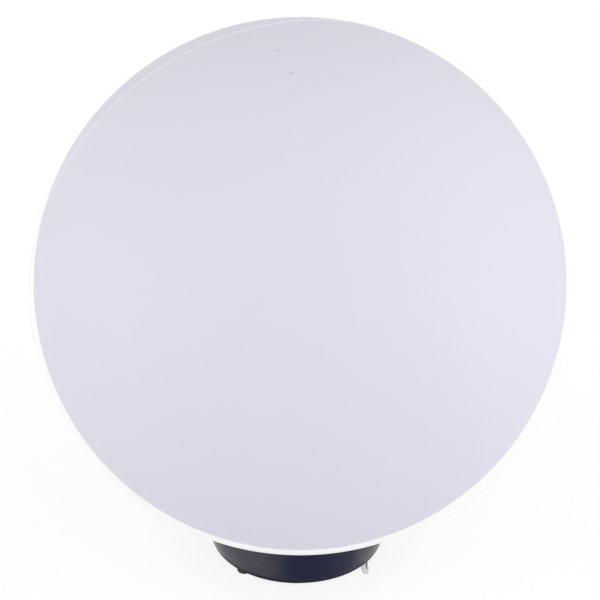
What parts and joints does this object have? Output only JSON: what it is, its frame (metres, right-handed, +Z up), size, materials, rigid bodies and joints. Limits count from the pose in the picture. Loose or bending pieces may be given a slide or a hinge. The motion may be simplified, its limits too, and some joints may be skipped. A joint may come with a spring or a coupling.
{
  "type": "garden globe light",
  "caption": "Free-standing garden light: a large matte white globe twisted onto a small flared black base with rubber feet, a push button and a clear battery tab.",
  "frame": {"origin": "on the floor under the feet, on the axis of the globe and the base", "axes": "+Z up along the globe's axis, -Y the front that the picture shows, +X to its right"},
  "size_m": [0.4, 0.3998, 0.4256],
  "materials": {
    "globe_plastic": "soft matte, faintly lavender white",
    "black_plastic": "satin moulded black",
    "black_rubber": "smooth black rubber",
    "clear_silicone": "milky soft silicone",
    "screw_steel": "zinc plated",
    "cell_jacket": "printed foil jacket, plain",
    "contact_metal": "nickel plated spring steel",
    "clear_film": "clear film, slightly milky",
    "button_rubber": "soft dark rubber",
    "switch_plastic": "moulded black",
    "plunger_plastic": "natural nylon",
    "circuit_board": "green solder mask",
    "board_part_plastic": "moulded housings",
    "plate_aluminium": "plain pressed sheet",
    "white_board": "white solder mask",
    "led_lens": "yellow phosphor in a white frame",
    "opal_plastic": "opal diffuser",
    "red_insulation": "smooth lead insulation",
    "black_insulation": "smooth lead insulation"
  },
  "bodies": {
    "base": {"base_collar": "black_plastic", "bottom_cover": "black_plastic", "foot_1": "black_rubber", "foot_2": "black_rubber", "foot_3": "black_rubber", "seal_ring": "clear_silicone", "cover_seal": "clear_silicone", "cover_screws": "screw_steel", "battery_tray": "black_plastic", "battery_cell_1": "cell_jacket", "battery_cell_2": "cell_jacket", "battery_cell_3": "cell_jacket", "contacts_positive": "contact_metal", "contacts_negative": "contact_metal", "control_board": "circuit_board", "board_parts": "board_part_plastic", "tact_switch": "switch_plastic", "board_screws": "screw_steel", "lamp_plate": "plate_aluminium", "led_board": "white_board", "leds": "led_lens", "led_screws": "screw_steel", "diffuser_cap": "opal_plastic", "lead_red": "red_insulation", "lead_black": "black_insulation"},
    "globe": {"globe_shell": "globe_plastic"},
    "button": {"power_button": "button_rubber", "switch_plunger": "plunger_plastic"},
    "tab": {"pull_tab": "clear_film"}
  },
  "joints": [
    {"name": "globe_twist", "type": "hinge", "parent": "base", "child": "globe", "pos_m": [0, 0, 0.2257], "axis": [0, 0, 1], "range_deg": [0, 18]},
    {"name": "button_press", "type": "slide", "parent": "base", "child": "button", "axis": [0, 0, 1], "range_m": [0, 0.0006], "stiffness_N_per_m": 1500, "springref_m": -0.0008},
    {"name": "tab_pull", "type": "slide", "parent": "base", "child": "tab", "axis": [0, 0, -1], "range_m": [0, 0.018]}
  ]
}
